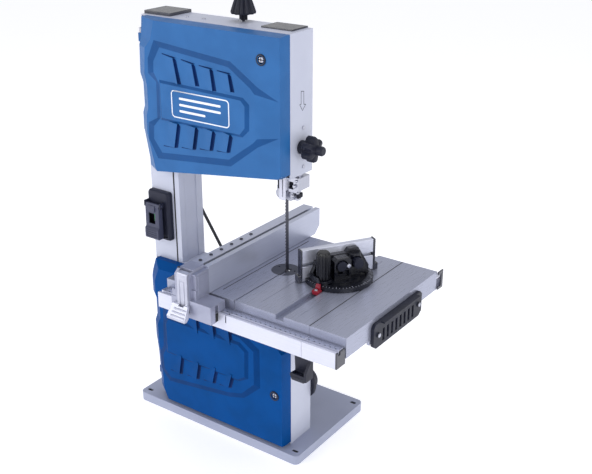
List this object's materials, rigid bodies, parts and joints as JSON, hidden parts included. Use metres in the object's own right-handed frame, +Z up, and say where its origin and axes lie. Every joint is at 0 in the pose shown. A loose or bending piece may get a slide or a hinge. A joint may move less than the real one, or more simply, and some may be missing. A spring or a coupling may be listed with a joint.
{
  "type": "band saw",
  "caption": "Bench band saw: folded steel frame with hinged doors, tilting slotted table with slide-out extension, rip fence, mitre gauge and side motor.",
  "frame": {"origin": "centre of the base plate on the surface it stands on", "axes": "+Z up, -Y towards the user, +X to the right along the table extension"},
  "size_m": [0.56, 0.386, 0.8248],
  "materials": {
    "grey_paint": "satin powder coat",
    "blue_plastic": "semi-gloss moulded",
    "black_plastic": "fine moulded texture",
    "cast_alloy": "die cast",
    "table_alloy": "milled",
    "rail_alloy": "satin anodised",
    "zinc_steel": "zinc plated",
    "blade_steel": "hardened",
    "tyre_rubber": "ground",
    "black_rubber": "matt",
    "motor_paint": "satin",
    "red_plastic": "moulded",
    "button_plastic": "moulded"
  },
  "bodies": {
    "frame": {"base_plate": "grey_paint", "lower_box": "grey_paint", "column": "grey_paint", "upper_box": "grey_paint", "column_cap": "black_plastic", "corner_cap": "black_plastic", "frame_screws": "zinc_steel", "hinge_leaves": "zinc_steel", "latch_brackets": "zinc_steel", "tension_spring": "zinc_steel", "motor_housing": "motor_paint", "motor_fan_cover": "black_plastic", "terminal_box": "black_plastic", "motor_lead": "black_rubber", "cable_glands": "black_rubber", "dust_port": "black_plastic", "blade": "blade_steel", "lower_guide": "zinc_steel", "tilt_bracket": "cast_alloy", "switch_housing": "black_plastic"},
    "upper_door": {"upper_door": "blue_plastic"},
    "upper_door_lock": {"upper_door_lock": "zinc_steel"},
    "lower_door": {"lower_door": "blue_plastic"},
    "lower_door_lock": {"lower_door_lock": "zinc_steel"},
    "wheel_carriage": {"wheel_carriage": "zinc_steel"},
    "upper_wheel": {"upper_wheel": "cast_alloy", "upper_tyre": "tyre_rubber"},
    "tension_knob": {"tension_knob": "black_plastic"},
    "drive": {"lower_wheel": "cast_alloy", "lower_tyre": "tyre_rubber", "motor_shaft": "zinc_steel"},
    "blade_guide": {"guide_post": "zinc_steel", "guide_bracket": "zinc_steel", "guide_rollers": "zinc_steel", "blade_guard": "grey_paint"},
    "guide_knob": {"guide_knob": "black_plastic"},
    "tilt_knob": {"tilt_knob": "black_plastic"},
    "table": {"tilt_segment": "cast_alloy", "table_main": "table_alloy", "table_insert": "black_plastic", "front_rail": "rail_alloy"},
    "extension": {"table_extension": "table_alloy", "extension_rods": "zinc_steel", "extension_handle": "black_plastic", "rail_extension": "rail_alloy", "rail_end_caps": "black_plastic", "rear_rail": "rail_alloy"},
    "lock_lever": {"lock_lever": "black_plastic"},
    "rip_fence": {"fence_bar": "rail_alloy", "fence_head": "cast_alloy"},
    "fence_lever": {"fence_lever": "cast_alloy"},
    "gauge_bar": {"gauge_bar": "zinc_steel", "gauge_pointer": "red_plastic"},
    "gauge_head": {"gauge_base": "black_plastic", "gauge_fence": "rail_alloy", "gauge_end_caps": "black_plastic", "gauge_knobs": "black_plastic"},
    "gauge_handle": {"gauge_handle": "black_plastic"},
    "switch_flap": {"switch_flap": "black_plastic"},
    "switch_buttons": {"switch_buttons": "button_plastic"}
  },
  "joints": [
    {"name": "upper_door_hinge", "type": "hinge", "parent": "frame", "child": "upper_door", "pos_m": [-0.1614, -0.0844, 0.664], "axis": [0, 0, -1], "range_deg": [0, 105]},
    {"name": "upper_lock_turn", "type": "hinge", "parent": "upper_door", "child": "upper_door_lock", "pos_m": [0.1251, -0.1, 0.744], "axis": [0, 1, 0], "range_deg": [0, 90]},
    {"name": "lower_door_hinge", "type": "hinge", "parent": "frame", "child": "lower_door", "pos_m": [-0.1614, -0.0844, 0.15], "axis": [0, 0, -1], "range_deg": [0, 105]},
    {"name": "lower_lock_turn", "type": "hinge", "parent": "lower_door", "child": "lower_door_lock", "pos_m": [0.145, -0.1, 0.1307], "axis": [0, 1, 0], "range_deg": [0, 90]},
    {"name": "tension_turn", "type": "hinge", "parent": "frame", "child": "tension_knob", "pos_m": [0.0324, -0.038, 0.794], "axis": [0, 0, 1], "range_deg": [-1450, 0]},
    {"name": "carriage_slide", "type": "slide", "parent": "frame", "child": "wheel_carriage", "axis": [0, 0, 1], "range_m": [-0.006, 0]},
    {"name": "upper_wheel_spin", "type": "hinge", "parent": "wheel_carriage", "child": "upper_wheel", "pos_m": [0.0164, -0.047, 0.664], "axis": [0, 1, 0], "continuous": true},
    {"name": "drive_spin", "type": "hinge", "parent": "frame", "child": "drive", "pos_m": [0.0164, -0.047, 0.15], "axis": [0, 1, 0], "continuous": true},
    {"name": "guide_knob_turn", "type": "hinge", "parent": "frame", "child": "guide_knob", "pos_m": [0.1633, -0.0562, 0.5932], "axis": [1, 0, 0], "range_deg": [-1100, 0]},
    {"name": "guide_slide", "type": "slide", "parent": "frame", "child": "blade_guide", "axis": [0, 0, 1], "range_m": [-0.12, 0]},
    {"name": "tilt_knob_turn", "type": "hinge", "parent": "frame", "child": "tilt_knob", "pos_m": [0.1008, 0, 0.29801], "axis": [0, 1, 0], "range_deg": [-180, 180]},
    {"name": "table_tilt", "type": "hinge", "parent": "frame", "child": "table", "pos_m": [0.127, -0.047, 0.3542], "axis": [0, 1, 0], "range_deg": [0, 45]},
    {"name": "extension_slide", "type": "slide", "parent": "table", "child": "extension", "axis": [1, 0, 0], "range_m": [0, 0.09]},
    {"name": "lock_lever_turn", "type": "hinge", "parent": "table", "child": "lock_lever", "pos_m": [0.2785, -0.2095, 0.304], "axis": [-1, 0, 0], "range_deg": [0, 50]},
    {"name": "fence_slide", "type": "slide", "parent": "table", "child": "rip_fence", "axis": [-1, 0, 0], "range_m": [-0.028, 0.048]},
    {"name": "fence_lever_turn", "type": "hinge", "parent": "rip_fence", "child": "fence_lever", "pos_m": [0.054, -0.237, 0.3983], "axis": [-1, 0, 0], "range_deg": [0, 50]},
    {"name": "gauge_slide", "type": "slide", "parent": "table", "child": "gauge_bar", "axis": [0, 1, 0], "range_m": [-0.06, 0.06]},
    {"name": "gauge_swivel", "type": "hinge", "parent": "gauge_bar", "child": "gauge_head", "pos_m": [0.2204, -0.022, 0.36], "axis": [0, 0, 1], "range_deg": [-118, 2]},
    {"name": "gauge_handle_turn", "type": "hinge", "parent": "gauge_head", "child": "gauge_handle", "pos_m": [0.21638, -0.06429, 0.38], "axis": [0, 0, 1], "range_deg": [-180, 180]},
    {"name": "switch_flap_hinge", "type": "hinge", "parent": "frame", "child": "switch_flap", "pos_m": [-0.13, -0.1054, 0.439], "axis": [-1, 0, 0], "range_deg": [0, 80]},
    {"name": "button_press", "type": "slide", "parent": "frame", "child": "switch_buttons", "axis": [0, 1, 0], "range_m": [0, 0.003], "stiffness_N_per_m": 300}
  ],
  "couplings": [
    {"joint": "tension_turn", "follows": "carriage_slide", "rad_per_m": 4188.8},
    {"joint": "upper_wheel_spin", "follows": "drive_spin", "ratio": 1},
    {"joint": "guide_knob_turn", "follows": "guide_slide", "rad_per_m": 153.85}
  ]
}
